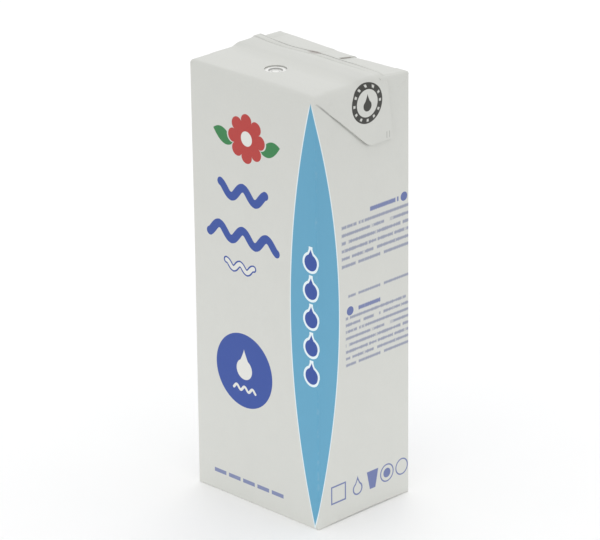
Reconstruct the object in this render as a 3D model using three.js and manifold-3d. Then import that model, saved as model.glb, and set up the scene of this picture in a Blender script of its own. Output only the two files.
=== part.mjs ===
// A shut brick carton for milk: a board brick with its top seal folded back as a fin, the pointed
// ears folded down on both narrow sides, a lap seam up the back, a straw hole and a folded base.
import * as THREE from 'three';
import { mergeVertices } from 'three/addons/utils/BufferGeometryUtils.js';
import Module from 'manifold-3d';

const wasm = await Module();
wasm.setup();

// Sizes in millimetres. +X is a narrow side, -Y the front panel, +Z up, and z = 0 the table.
const WIDTH = 47.2;
const DEPTH = 35.7;
const HEIGHT = 124.5;
const BOARD = 0.38;
const TWO_PLY = 2 * BOARD;

// Brick: edge radii, where the top's front edge turns from crisp to soft and back, the swell of the
// wide panels, and how far the top's back edge has sunk at its left end, in a step where the lap
// seam begins, beside the lap seam and at its right end.
const SIDE_EDGE_RADIUS = 0.4;
const CRISP_EDGE_RADIUS = 1.2;
const SOFT_EDGE_RADIUS = 3.4;
const SOFT_EDGE = { starts: -8, full: 5, ends: 13, crisp: 24 };
const BACK_EDGE_RADIUS = 2.2;
const BASE_EDGE_RADIUS = 0.6;
const PANEL_SWELL = 0.45;
const FALL_LEFT = 0.15;
const FALL_STEP = 0.6;
const FALL_MIDDLE = 1.1;
const FALL_RIGHT = 0.72;
const FALL_EASE = 4;
const PANEL_ROWS = 12;
const EDGE_STEPS = 3;

// Lap seam on the back: the overlapping edge of the board and the soft ramp behind it.
const LAP_START = -3.5;
const LAP_RAMP = 2.4;
const LAP_EDGE = 4.5;
const LAP_CUT = 0.04;
const LAP_FADE = 2;

// Fin of the top seal: where its fold rises, its free edge and how far that edge is lifted.
const FIN_FRONT = -1.6;
const FIN_EDGE = 8.6;
const FIN_CRIMP = 2.3;
const FIN_LIFT = 1.2;
const FIN_FOLD_EXTRA = 0.5;

// Ears: slanted front edge from the top corner to the rounded tip, then the cut end of the fin.
const EAR_DROP = 17.9;
const EAR_TIP = 1.4;
const EAR_TIP_RADIUS = 1.7;
const EAR_TOP_GAP = 0.45;
const LEFT_FOLD_RADIUS = 1.3;
const RIGHT_FOLD_RADIUS = 3;
const RIGHT_FOLD_END = 6;
const FOLD_LEAD = 0.06;
const EAR_END = 10.9;
const EAR_SWELL_FRONT = -5;
const EAR_SWELL_BACK = 1;
const EAR_BACK_PLY = 0.5;
const EAR_SINK = 0.09;

// Straw hole: a round dimple with a low dome of film in it.
const HOLE_X = -1.54;
const HOLE_Y = -7.5;
const HOLE_RADIUS = 3.1;
const HOLE_DEPTH = 0.42;

// Base: hollow between the two ears tucked under, and the fin that lies in it.
const BASE_HOLLOW = 0.9;
const BASE_RIM = 1.7;
const BASE_FIN_EDGE = 8;
const BASE_FIN_CLEAR = 0.12;

// Worked out from the sizes above; cutters run past a face by CLEAR, and what is flatter than FLAT
// is one face.
const HALF_W = WIDTH / 2;
const HALF_D = DEPTH / 2;
const REACH = WIDTH + DEPTH;
const CLEAR = 1;
const MERGE = 1e-4;
const FLAT = 0.004;
const QUARTER = Math.PI / 2;
const EAR_SLOPE = (EAR_DROP - EAR_TOP_GAP) / (EAR_TIP + HALF_D);
const { lerp } = THREE.MathUtils;
const smooth = (from, to, at) => THREE.MathUtils.smoothstep(at, from, to);

// Profiles are drawn as (y, z) for runs along X, (x, z) for runs along Y and (x, y) for runs along Z.
const FROM_YZ = new THREE.Matrix4().makeBasis(
  new THREE.Vector3(0, 1, 0),
  new THREE.Vector3(0, 0, 1),
  new THREE.Vector3(1, 0, 0),
);

function spaced(low, high, count) {
  return Array.from({ length: count + 1 }, (_, i) => lerp(low, high, i / count));
}

function drawn(points) {
  return new THREE.Shape(points.map(([a, b]) => new THREE.Vector2(a, b)));
}

function alongX(shape, low, high, more = {}) {
  const run = { depth: high - low, bevelEnabled: false, curveSegments: EDGE_STEPS, ...more };
  const geometry = new THREE.ExtrudeGeometry(shape, run);
  geometry.applyMatrix4(FROM_YZ);
  return geometry.translate(low, 0, 0);
}

function alongY(shape, low, high) {
  const run = { depth: high - low, bevelEnabled: false, curveSegments: EDGE_STEPS };
  const geometry = new THREE.ExtrudeGeometry(shape, run);
  geometry.rotateX(QUARTER);
  return geometry.translate(0, high, 0);
}

function alongZ(shape, low, high) {
  const run = { depth: high - low, bevelEnabled: false, curveSegments: EDGE_STEPS };
  return new THREE.ExtrudeGeometry(shape, run).translate(0, 0, low);
}

function solid(geometry) {
  geometry.deleteAttribute('normal');
  geometry.deleteAttribute('uv');
  const merged = mergeVertices(geometry, MERGE);
  const vertProperties = new Float32Array(merged.attributes.position.array);
  const triVerts = new Uint32Array(merged.index.array);
  return new wasm.Manifold(new wasm.Mesh({ numProp: 3, vertProperties, triVerts }));
}

function surface(body) {
  const mesh = body.getMesh();
  const geometry = new THREE.BufferGeometry();
  geometry.setAttribute('position', new THREE.BufferAttribute(mesh.vertProperties, 3));
  geometry.setIndex(new THREE.BufferAttribute(mesh.triVerts, 1));
  geometry.computeVertexNormals();
  return geometry;
}

// Side view of the brick with its back top edge sunk by a fall, and stations up both wide panels so
// that they can swell.
function sideProfile(fall) {
  const backTop = HEIGHT - fall - BACK_EDGE_RADIUS;
  const frontTop = HEIGHT - SOFT_EDGE_RADIUS;
  const baseY = HALF_D - BASE_EDGE_RADIUS;
  const backY = HALF_D - BACK_EDGE_RADIUS;
  const frontY = SOFT_EDGE_RADIUS - HALF_D;
  const shape = new THREE.Shape();
  shape.moveTo(-baseY, 0);
  shape.absarc(baseY, BASE_EDGE_RADIUS, BASE_EDGE_RADIUS, -QUARTER, 0, false);
  for (let row = 1; row < PANEL_ROWS; row += 1) {
    shape.lineTo(HALF_D, lerp(BASE_EDGE_RADIUS, backTop, row / PANEL_ROWS));
  }
  shape.absarc(backY, backTop, BACK_EDGE_RADIUS, 0, QUARTER, false);
  shape.lineTo(FIN_EDGE, HEIGHT);
  shape.lineTo(FIN_EDGE - LAP_FADE, HEIGHT);
  shape.absarc(frontY, frontTop, SOFT_EDGE_RADIUS, QUARTER, 2 * QUARTER, false);
  for (let row = 1; row < PANEL_ROWS; row += 1) {
    shape.lineTo(-HALF_D, lerp(frontTop, BASE_EDGE_RADIUS, row / PANEL_ROWS));
  }
  shape.absarc(-baseY, BASE_EDGE_RADIUS, BASE_EDGE_RADIUS, 2 * QUARTER, 3 * QUARTER, false);
  return shape;
}

// How far the top's back edge has sunk at a place across the pack.
function backFall(x) {
  const slope = smooth(-0.85 * HALF_W, LAP_START, x) * (FALL_MIDDLE - FALL_STEP - FALL_LEFT);
  const step = smooth(LAP_START, LAP_START + LAP_RAMP, x) * FALL_STEP;
  const eased = (smooth(LAP_EDGE, HALF_W, x) + smooth(LAP_EDGE, LAP_EDGE + FALL_EASE, x)) / 2;
  return FALL_LEFT + slope + step - eased * (FALL_MIDDLE - FALL_RIGHT);
}

// Radius of the top's front edge at a place across the pack.
function frontRadius(x) {
  const soft = smooth(SOFT_EDGE.starts, SOFT_EDGE.full, x) * (1 - smooth(SOFT_EDGE.ends, SOFT_EDGE.crisp, x));
  return lerp(CRISP_EDGE_RADIUS, SOFT_EDGE_RADIUS, soft);
}

// Moves a point of the top's front edge from the soft radius to the radius at its place.
function tightenFront(point) {
  const along = new THREE.Vector2(point.y + HALF_D - SOFT_EDGE_RADIUS, point.z - HEIGHT + SOFT_EDGE_RADIUS);
  if (along.x > MERGE || along.y < -MERGE) return;
  const inset = SOFT_EDGE_RADIUS - along.length();
  const radius = frontRadius(point.x);
  along.setLength(radius - inset);
  point.y = radius - HALF_D + along.x;
  point.z = HEIGHT - radius + along.y;
}

// Thickness that the lap adds across the back: a soft ramp, a flat and a clean cut edge.
function lapRise(x) {
  return x > LAP_EDGE ? 0 : BOARD * smooth(LAP_START, LAP_START + LAP_RAMP, x);
}

// The brick: its profile run across, sections moved to where the lap needs them, panels swollen.
function brick() {
  const inner = HALF_W - SIDE_EDGE_RADIUS;
  const left = spaced(-inner, LAP_START, EDGE_STEPS);
  const lap = [LAP_START + LAP_RAMP / 2, LAP_START + LAP_RAMP, LAP_EDGE];
  const right = spaced(LAP_EDGE + LAP_CUT, inner, EDGE_STEPS);
  const sections = [...left, ...lap, ...right];
  const geometry = alongX(sideProfile(0), -inner, inner, {
    steps: sections.length - 1,
    bevelEnabled: true,
    bevelThickness: SIDE_EDGE_RADIUS,
    bevelSize: SIDE_EDGE_RADIUS,
    bevelOffset: -SIDE_EDGE_RADIUS,
    bevelSegments: EDGE_STEPS,
  });
  const position = geometry.attributes.position;
  const spacing = (2 * inner) / (sections.length - 1);
  const point = new THREE.Vector3();
  const topY = HALF_D - BACK_EDGE_RADIUS;
  const topZ = HEIGHT - BACK_EDGE_RADIUS;
  for (let i = 0; i < position.count; i += 1) {
    point.fromBufferAttribute(position, i);
    if (Math.abs(point.x) < inner + MERGE) {
      point.x = sections[Math.round((point.x + inner) / spacing)];
    }
    tightenFront(point);
    const across = 1 - (point.x / HALF_W) ** 2;
    const upward = 1 - (2 * point.z / HEIGHT - 1) ** 2;
    const coreY = Math.min(point.y, topY);
    const coreZ = Math.min(point.z, topZ);
    const out = new THREE.Vector2(point.y - coreY, point.z - coreZ).normalize();
    const onBack = smooth(FIN_EDGE - LAP_FADE, FIN_EDGE, point.y);
    const aboveBase = smooth(BASE_EDGE_RADIUS / 2, BASE_EDGE_RADIUS + LAP_FADE, point.z);
    const lapped = lapRise(point.x) * onBack * aboveBase;
    const swell = PANEL_SWELL * Math.max(across, 0) * Math.max(upward, 0) * (point.y / HALF_D);
    const behindFin = THREE.MathUtils.clamp((point.y - FIN_EDGE) / (topY - FIN_EDGE), 0, 1);
    const sunk = backFall(point.x) * behindFin * smooth(HEIGHT / 2, topZ, point.z);
    position.setXYZ(i, point.x, point.y + swell + out.x * lapped, point.z + out.y * lapped - sunk);
  }
  return solid(geometry);
}

// A run along Y whose top corners are the round folds over the narrow sides, tight on the left and
// soft on the right.
function foldEnvelope(halfWidth, top, left, right) {
  const shape = new THREE.Shape();
  shape.moveTo(-halfWidth, 0);
  shape.lineTo(halfWidth, 0);
  shape.absarc(halfWidth - right, top - right, right, 0, QUARTER, false);
  shape.absarc(left - halfWidth, top - left, left, QUARTER, 2 * QUARTER, false);
  shape.lineTo(-halfWidth, 0);
  return solid(alongY(shape, -REACH, REACH));
}

// Cutter that presses the brick's right top edge round, as far back as the fin covers it.
function rightFold() {
  const heart = [HALF_W - RIGHT_FOLD_RADIUS + FOLD_LEAD, HEIGHT - RIGHT_FOLD_RADIUS + FOLD_LEAD];
  const shape = new THREE.Shape();
  shape.moveTo(HALF_W + CLEAR, HEIGHT - RIGHT_FOLD_RADIUS);
  shape.lineTo(HALF_W + CLEAR, HEIGHT + CLEAR);
  shape.lineTo(HALF_W - RIGHT_FOLD_RADIUS, HEIGHT + CLEAR);
  shape.absarc(...heart, RIGHT_FOLD_RADIUS, QUARTER, 0, true);
  return solid(alongY(shape, -REACH, RIGHT_FOLD_END));
}

// The corner of the slanted edge and the cut end, rounded with a curve.
function roundTip(shape) {
  const tip = HEIGHT - EAR_DROP;
  const run = EAR_TIP_RADIUS * Math.cos(Math.atan(EAR_SLOPE));
  shape.lineTo(EAR_TIP + EAR_TIP_RADIUS, tip);
  shape.quadraticCurveTo(EAR_TIP, tip, EAR_TIP - run, tip + run * EAR_SLOPE);
}

// Flat plies of one ear: the front half on show and the back half that runs under the fin.
function earPlies(side) {
  const low = HEIGHT - EAR_DROP;
  const corner = HEIGHT - EAR_TOP_GAP;
  const front = new THREE.Shape();
  front.moveTo(-HALF_D, HEIGHT);
  front.lineTo(EAR_TIP + 2 * EAR_TIP_RADIUS, HEIGHT);
  front.lineTo(EAR_TIP + 2 * EAR_TIP_RADIUS, low);
  roundTip(front);
  front.lineTo(-HALF_D, corner);
  const backDrop = corner - (HALF_D - EAR_TIP);
  const back = drawn([[EAR_TIP, HEIGHT], [EAR_TIP, backDrop], [HALF_D, corner], [HALF_D, HEIGHT]]);
  const root = HALF_W - RIGHT_FOLD_RADIUS;
  const ends = (ply) => [side * root, side * (HALF_W + ply)].sort((a, b) => a - b);
  const frontPly = solid(alongX(front, ...ends(TWO_PLY)));
  const backPly = solid(alongX(back, ...ends(EAR_BACK_PLY)));
  const outline = solid(alongX(sideProfile(backFall(side * HALF_W)), -REACH, REACH));
  return frontPly.add(backPly).intersect(outline.translate([0, 0, -EAR_SINK]));
}

// The fin where it runs down over one ear: thicker towards the fold, with a slightly skewed free edge.
function earFin(side) {
  const low = HEIGHT - EAR_DROP;
  const view = new THREE.Shape();
  view.moveTo(EAR_SWELL_FRONT, HEIGHT - BACK_EDGE_RADIUS);
  view.lineTo(FIN_FRONT, HEIGHT);
  view.lineTo(0, HEIGHT + TWO_PLY);
  view.lineTo(FIN_EDGE, HEIGHT + FIN_LIFT);
  view.lineTo(EAR_END, low);
  roundTip(view);
  view.lineTo(EAR_SWELL_FRONT, low + (EAR_TIP - EAR_SWELL_FRONT) * EAR_SLOPE);
  const root = side * (HALF_W - RIGHT_FOLD_RADIUS);
  const plan = [[root, EAR_END + BOARD], [root, EAR_SWELL_FRONT - BOARD]];
  const rows = 2 * EDGE_STEPS;
  for (let row = 0; row <= rows; row += 1) {
    const y = lerp(EAR_SWELL_FRONT, EAR_SWELL_BACK, row / rows);
    const rise = smooth(EAR_SWELL_FRONT, EAR_SWELL_BACK, y);
    plan.push([side * (HALF_W + TWO_PLY * (0.95 + 1.05 * rise)), y]);
  }
  plan.push([side * (HALF_W + 2 * TWO_PLY), EAR_END + BOARD]);
  const body = solid(alongZ(drawn(plan), low - BOARD, HEIGHT + 2 * FIN_LIFT));
  return body.intersect(solid(alongX(view, -REACH, REACH)));
}

// The fin across the top: a rolled fold, a pressed band, the crimp and the lifted free edge.
function topFin() {
  const crimp = FIN_EDGE - FIN_CRIMP;
  const profile = drawn([
    [FIN_FRONT, HEIGHT - BOARD],
    [FIN_FRONT, HEIGHT],
    [FIN_FRONT * 0.6, HEIGHT + TWO_PLY * 0.3],
    [FIN_FRONT * 0.2, HEIGHT + TWO_PLY * 0.8],
    [-FIN_FRONT * 0.3, HEIGHT + TWO_PLY],
    [crimp - BOARD, HEIGHT + TWO_PLY * 0.85],
    [crimp, HEIGHT + TWO_PLY * 0.75],
    [crimp + BOARD, HEIGHT + TWO_PLY * 0.95],
    [FIN_EDGE, HEIGHT + FIN_LIFT],
    [FIN_EDGE + BOARD / 4, HEIGHT + FIN_LIFT - TWO_PLY],
    [crimp, HEIGHT - BOARD],
  ]);
  return solid(alongX(profile, -REACH, REACH));
}

// Turned cutter of the straw hole: a shallow round dimple that leaves a low dome in its middle.
function strawHole() {
  const dome = [];
  for (let row = 0; row <= EDGE_STEPS; row += 1) {
    const share = row / EDGE_STEPS;
    dome.push(new THREE.Vector2(HOLE_RADIUS * 0.8 * share, -HOLE_DEPTH * (0.4 + 0.6 * share ** 2)));
  }
  const rim = [
    new THREE.Vector2(HOLE_RADIUS * 0.9, -HOLE_DEPTH * 0.75),
    new THREE.Vector2(HOLE_RADIUS, 0),
    new THREE.Vector2(HOLE_RADIUS, HOLE_DEPTH),
    new THREE.Vector2(0, HOLE_DEPTH),
  ];
  const geometry = new THREE.LatheGeometry([...dome, ...rim], 32);
  geometry.rotateX(QUARTER);
  return solid(geometry.translate(HOLE_X, HOLE_Y, HEIGHT));
}

// Cutter of the base: a low ridge-shaped hollow with the two tucked ears left standing in it.
function baseHollow() {
  const half = HALF_D - BASE_RIM;
  const ridge = drawn([[-half, -CLEAR], [half, -CLEAR], [half, 0], [0, BASE_HOLLOW], [-half, 0]]);
  let hollow = solid(alongX(ridge, BASE_RIM - HALF_W, HALF_W - BASE_RIM));
  for (const side of [-1, 1]) {
    const ear = drawn([
      [side * HALF_W, -HALF_D],
      [side * HALF_W, HALF_D],
      [side * (HALF_W - HALF_D), 0],
    ]);
    hollow = hollow.subtract(solid(alongZ(ear, -2 * CLEAR, 2 * CLEAR)));
  }
  return hollow;
}

// The fin of the base seal, pressed flat into the hollow.
function baseFin() {
  const profile = drawn([
    [-TWO_PLY, BASE_HOLLOW + BOARD],
    [-TWO_PLY, BASE_FIN_CLEAR + BOARD],
    [0, BASE_FIN_CLEAR],
    [BASE_FIN_EDGE, BASE_FIN_CLEAR / 2],
    [BASE_FIN_EDGE, BASE_HOLLOW + BOARD],
  ]);
  return solid(alongX(profile, BASE_RIM - HALF_W, HALF_W - BASE_RIM));
}

function carton() {
  const ears = earPlies(1).add(earPlies(-1)).intersect(
    foldEnvelope(HALF_W + TWO_PLY, HEIGHT - EAR_SINK, LEFT_FOLD_RADIUS, RIGHT_FOLD_RADIUS),
  );
  const fin = topFin().add(earFin(1)).add(earFin(-1)).intersect(
    foldEnvelope(
      HALF_W + 2 * TWO_PLY,
      HEIGHT + FIN_LIFT,
      LEFT_FOLD_RADIUS + FIN_FOLD_EXTRA,
      RIGHT_FOLD_RADIUS + FIN_FOLD_EXTRA,
    ),
  );
  const body = brick().subtract(rightFold()).subtract(strawHole()).subtract(baseHollow());
  return body.add(baseFin()).add(ears).add(fin).simplify(FLAT);
}

const group = new THREE.Group();
group.name = 'milk_carton';
const board = new THREE.MeshStandardMaterial({ color: 0xd8d9d3, roughness: 0.55, metalness: 0 });
const shell = new THREE.Mesh(surface(carton()), board);
shell.name = 'carton';
group.add(shell);

export default group;
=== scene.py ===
"""A shut brick carton for milk: folded board, top fin, ears, lap seam, straw hole and simple print."""

import math
from collections import namedtuple
from functools import wraps
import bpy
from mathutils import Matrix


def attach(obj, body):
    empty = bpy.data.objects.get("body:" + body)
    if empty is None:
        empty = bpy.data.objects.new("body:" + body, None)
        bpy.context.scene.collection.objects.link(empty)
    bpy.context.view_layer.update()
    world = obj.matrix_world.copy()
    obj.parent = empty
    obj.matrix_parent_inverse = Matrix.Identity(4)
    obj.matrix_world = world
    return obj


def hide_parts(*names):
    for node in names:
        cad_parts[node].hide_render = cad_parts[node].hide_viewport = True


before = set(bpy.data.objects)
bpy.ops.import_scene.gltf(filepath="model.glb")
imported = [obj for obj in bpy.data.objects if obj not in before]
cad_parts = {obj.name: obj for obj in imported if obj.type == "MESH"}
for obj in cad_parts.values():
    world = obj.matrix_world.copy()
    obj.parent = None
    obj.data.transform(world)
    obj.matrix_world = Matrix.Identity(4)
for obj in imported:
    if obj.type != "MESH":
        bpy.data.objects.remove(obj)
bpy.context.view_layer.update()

from types import SimpleNamespace

import bpy
from bpy.props import FloatProperty, FloatVectorProperty, IntProperty, PointerProperty
from mathutils import Matrix, Vector

bl_info = {
    "name": "Brick Milk Carton",
    "version": (1, 0, 0),
    "blender": (4, 5, 0),
    "location": "View3D > Sidebar > Carton",
    "description": "Models a shut brick carton for milk from its sizes and print colours",
    "category": "Add Mesh",
}

MM = 0.001
CLOSE = MM / 100
HAIR = MM / 1000
QUARTER = math.pi / 2
SHARP = math.radians(50)
SMOOTH_ANGLE = math.radians(38)

# Cuts across the brick and from front to back in the brick and the outer ply, in millimetres.
BRICK_COLUMNS = (-20, -17, -13.5, -10, -6.5, -3.5, -2.3, -1.1, 0.8, 3.5, 6.5, 10, 13.5, 17, 20)
BRICK_ROWS = (-12.5, -11.2, -10.6, -8, -4, 0, 4)
BRICK_BACK_ROWS = (11.8, 13.6)
PLY_FRONT_ROWS = (-10.5, -9, -7.5, -6, -5, -4, -3, -2.2)
PLY_FIN_ROWS = (-1.3, -1, -0.7, -0.4, -0.1, 0.3, 1, 2.5, 4)

# Rings of the straw hole's film from its rim inwards: width and lift in millimetres.
FILM_RINGS = ((0.5, 0), (0.75, 0.05), (0.2, -0.08), (0.25, -0.34), (0.5, -0.02), (0.5, 0.12))

# Waving strokes of the print, in millimetres.
Wave = namedtuple("Wave", "middle height reach swing pitch stroke")
WAVES = (Wave(-4.2, 91.0, 9.8, 1.7, 9.1, 1.25), Wave(-4.4, 78.6, 14.1, 1.7, 9.1, 1.25))
PALE_WAVE = Wave(-5.7, 69.5, 6.3, 0.9, 5.2, 1.05)
RIPPLE = Wave(0, -5.4, 4.6, 0.6, 3.07, 0.4)

# Blocks of bars on the narrow side, in millimetres up from the table and back from the front edge.
Bars = namedtuple("Bars", "low high near far pitch weight shift")

# Softboxes: place, target and size in metres.
BACK_SOFTBOX = ((-0.55, 0.8, 0.75), (0, 0, 0.1), 0.8)
FRONT_SOFTBOX = ((0.38, -1.0, 0.2), (0, 0, 0.04), 1.0)


def length(name, description, mm):
    """A size in millimetres, kept in metres."""
    return FloatProperty(name=name, description=description, default=mm * MM,
                         subtype="DISTANCE", unit="LENGTH")


def angle(name, description, degrees):
    """A turn in degrees, kept in radians."""
    return FloatProperty(name=name, description=description, default=math.radians(degrees),
                         subtype="ANGLE", unit="ROTATION")


def colour(name, description, red, green, blue):
    """A colour given by its screen values from 0 to 255, kept as linear light."""
    def linear(value):
        share = value / 255
        return share / 12.92 if share <= 0.04045 else ((share + 0.055) / 1.055) ** 2.4
    default = (linear(red), linear(green), linear(blue))
    return FloatVectorProperty(name=name, description=description, default=default, size=3,
                               min=0, max=1, subtype="COLOR")


class CartonSizes(bpy.types.PropertyGroup):
    """Sizes of the folded board."""

    width: length("Width", "Across the front panel", 47.2)
    depth: length("Depth", "Front to back", 35.7)
    height: length("Height", "Table to the flat of the top", 124.5)
    board: length("Board", "Thickness of one ply", 0.38)
    side_edge: length("Upright edge", "Radius of the upright edges", 0.4)
    crisp_edge: length("Crisp edge", "Radius of the top's front edge on its left", 1.2)
    top_edge: length("Top edge", "Radius of the top's front edge where it is soft", 3.4)
    back_edge: length("Back edge", "Radius of the top's back edge in its middle", 2.2)
    end_edge: length("End edge", "Radius of the top's edges over the narrow sides", 0.5)
    base_edge: length("Base edge", "Radius round the base", 0.25)
    base_arch: length("Base arch", "Lift of the base edge in the middle of the narrow sides", 0.3)
    base_hollow: length("Base hollow", "Height of the hollow under the base", 0.9)
    base_rim: length("Base rim", "Width of the rim round the hollow", 1.7)
    swell: length("Swell", "How far the wide panels bulge", 0.45)
    flare: length("Flare", "Outward lean of the front left corner at the top", 0.45)
    shoulder: length("Shoulder", "Drop of the top round its front right corner", 0.6)
    lean: length("Lean", "Inward lean of the right panel under that corner", 0.4)
    fall_left: length("Fall left", "Drop of the top's back edge at its left end", 0.15)
    fall_step: length("Fall step", "Step in that drop where the lap begins", 0.6)
    fall_middle: length("Fall middle", "Drop of the top's back edge beside the lap", 1.1)
    fall_right: length("Fall right", "Drop of the top's back edge at its right end", 0.72)
    lap_start: length("Lap start", "Where the lap seam begins to rise, across", -3.5)
    lap_ramp: length("Lap ramp", "Width of the lap's soft side", 2.4)
    lap_edge: length("Lap edge", "Cut edge of the lap seam, across", 4.5)
    fin_front: length("Fin front", "Where the top fin's fold rises", -1.6)
    fin_edge: length("Fin edge", "Free edge of the top fin", 8.6)
    fin_crimp: length("Fin crimp", "Crimped lines in front of the free edge", 2.3)
    fin_lift: length("Fin lift", "Height of the free edge above the top", 1.2)
    fin_bow: length("Fin bow", "Forward bow of the free edge on its left half", 0.75)
    fold: length("Fold", "Outer radius where the left ear turns down", 0.9)
    soft_fold: length("Soft fold", "Outer radius where the right ear turns down", 3)
    ear_drop: length("Ear drop", "Height of the folded ears", 17.9)
    ear_tip: length("Ear tip", "Lowest corner of the slanted edge, front to back", 1.4)
    ear_round: length("Ear round", "Radius of that corner", 1.7)
    ear_gap: length("Ear gap", "Drop of the slanted edge at the top corner", 0.45)
    ear_end: length("Ear end", "Free edge at the cut end of the ear", 10.9)
    hole_x: length("Straw hole across", "Centre of the straw hole", -1.54)
    hole_y: length("Straw hole back", "Centre of the straw hole", -7.5)
    hole: length("Straw hole", "Radius of the straw hole", 3.1)


class CartonPrint(bpy.types.PropertyGroup):
    """Sizes of the print, up from the table and across from the middle of the front panel."""

    lens_low: length("Lens low", "Lower tip of the lens", 1)
    lens_high: length("Lens high", "Upper tip of the lens", 122.6)
    lens_front: length("Lens front", "Half width of the lens on the front panel", 8.3)
    lens_side: length("Lens side", "Half width of the lens on the narrow side", 10)
    lens_shift: length("Lens shift", "Middle of the lens in front of the edge", 1.6)
    lens_rim: length("Lens rim", "Width of the pale rim round the lens", 0.34)
    drop_count: IntProperty(name="Drops", description="Drops in the column on the lens", default=5, min=0)
    drop_low: length("Drops low", "Lower end of the column of drops", 41.8)
    drop_pitch: length("Drop pitch", "Step of the column of drops", 8.2)
    drop_shift: length("Drop shift", "Column of drops in front of the edge", 2.2)
    drop_radius: length("Drop radius", "Radius of a drop's foot", 2.35)
    drop_tip: length("Drop tip", "Tip of a drop over the middle of its foot", 3.9)
    drop_rim: length("Drop rim", "Width of the pale rim round a drop", 0.7)
    flower_x: length("Flower across", "Middle of the flower", -2.5)
    flower_z: length("Flower up", "Middle of the flower", 107.1)
    flower_hollow: length("Flower hollow", "Radius of the flower between two petals", 4.9)
    flower_petal: length("Petal", "Reach of a petal past that radius", 2.1)
    flower_heart: length("Flower heart", "Radius of the pale heart", 2.1)
    leaf_x: length("Leaf", "Middle of a leaf beside the middle of the flower", 8.9)
    leaf_half: length("Leaf height", "Half height of a leaf", 2.2)
    disc_x: length("Disc across", "Middle of the disc", -4.65)
    disc_z: length("Disc up", "Middle of the disc", 39.3)
    disc: length("Disc", "Radius of the disc", 10.9)
    dash_left: length("Dashes left", "Left end of the line of dashes", -17.6)
    dash_right: length("Dashes right", "Right end of the line of dashes", 10.6)
    dash_pitch: length("Dash pitch", "Step of the line of dashes", 5.64)
    dash_z: length("Dashes up", "Middle of the line of dashes", 5.9)
    sign_z: length("Signs up", "Middle of the row of plain signs", 8.6)
    mark_y: length("Mark back", "Middle of the round mark behind the middle of the ear's side", 0.95)
    mark_drop: length("Mark drop", "Middle of the round mark below the top, along the board", 5.76)
    mark_outer: length("Mark outer", "Outer radius of the round mark", 5.6)
    mark_inner: length("Mark inner", "Inner radius of the round mark", 3.8)


class CartonColours(bpy.types.PropertyGroup):
    """Colours of the board, its print and the stage."""

    board: colour("Board", "Film-coated board", 211, 212, 207)
    # Also the colour of the painted shadow beside the lap's cut edge.
    fibre: colour("Cut edge", "Fibre core at the cut edges", 112, 84, 78)
    lens: colour("Lens", "Pale blue field round the front edge", 98, 164, 196)
    rim: colour("Rim", "Pale rim round the lens and its drops", 230, 242, 246)
    blue: colour("Blue ink", "Disc, waves and drops", 52, 80, 158)
    red: colour("Red ink", "Flower", 182, 60, 56)
    green: colour("Green ink", "Leaves", 52, 128, 74)
    small: colour("Small print", "Bars that stand for small print", 112, 122, 158)
    # Also the colour of painted shade: the crease under the ears, the straw hole's wall and film, and the
    # fin's lines and seal band.
    mark: colour("Mark", "Round mark on the ear", 62, 62, 58)
    film: colour("Film", "Film in the straw hole", 245, 245, 242)
    floor: colour("Floor", "Plain pale floor", 250, 250, 250)


class StageSettings(bpy.types.PropertyGroup):
    """Where the camera stands and how bright the studio is."""

    azimuth: angle("Azimuth", "Camera's turn from the front panel", 45.116)
    elevation: angle("Elevation", "Camera's height angle", 21.452)
    roll: angle("Roll", "Camera's turn about its own axis", -0.562)
    distance: length("Distance", "Camera to the middle of the carton", 1100.76)
    right: length("Right", "Camera's move to its right", -0.437)
    upward: length("Upward", "Camera's move upwards", 2.53)
    lens: FloatProperty(name="Lens", description="Focal length in millimetres", default=241, unit="CAMERA")
    sky: FloatProperty(name="Sky", description="Strength of the even light", default=1.03)
    back_light: FloatProperty(name="Back light", description="Power of the soft light behind",
                              default=1.2, unit="POWER")
    front_light: FloatProperty(name="Front light", description="Power of the soft light in front",
                               default=0.5, unit="POWER")


# Modelling


def sizes():
    """The carton's sizes in this scene."""
    return bpy.context.scene.carton_sizes


def colours():
    """The carton's colours in this scene."""
    return bpy.context.scene.carton_colours


def in_mm(group):
    """The values of a group of sizes in millimetres, and its counts as they are."""
    values = {key: getattr(group, key) for key in group.__annotations__}
    return SimpleNamespace(**{key: value if isinstance(value, int) else value / MM
                              for key, value in values.items()})


def hold(value):
    """A value held between 0 and 1."""
    return min(max(value, 0), 1)


def smooth(low, high, value):
    """0 before low, 1 after high and a soft step between."""
    share = hold((value - low) / (high - low))
    return share * share * (3 - 2 * share)


def spaced(low, high, count):
    """Places between two ends, without the ends."""
    return [low + (high - low) * i / count for i in range(1, count)]


def object_mode():
    """Leaves edit mode."""
    if bpy.context.mode != "OBJECT":
        bpy.ops.object.mode_set(mode="OBJECT")


def clear_selection():
    """Leaves edit mode with nothing selected."""
    object_mode()
    bpy.ops.object.select_all(action="DESELECT")


def take(piece):
    """Makes a piece the only selected one and the active one."""
    clear_selection()
    piece.select_set(True)
    bpy.context.view_layer.objects.active = piece


def set_in_place():
    """Moves the active piece's place, turn and scale into its mesh."""
    bpy.ops.object.transform_apply(location=True, rotation=True, scale=True)
    return bpy.context.object


def add_sheet(low, high):
    """A flat sheet between two corners that share one coordinate."""
    clear_selection()
    low, high = Vector(low), Vector(high)
    span = high - low
    flat = min(range(3), key=lambda axis: abs(span[axis]))
    turn = ((0, QUARTER, 0), (-QUARTER, 0, 0), (0, 0, 0))[flat]
    scale = ((span.z, span.y, 1), (span.x, span.z, 1), (span.x, span.y, 1))[flat]
    bpy.ops.mesh.primitive_plane_add(size=1, location=(low + high) / 2, rotation=turn)
    bpy.context.object.scale = scale
    return set_in_place()


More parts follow.
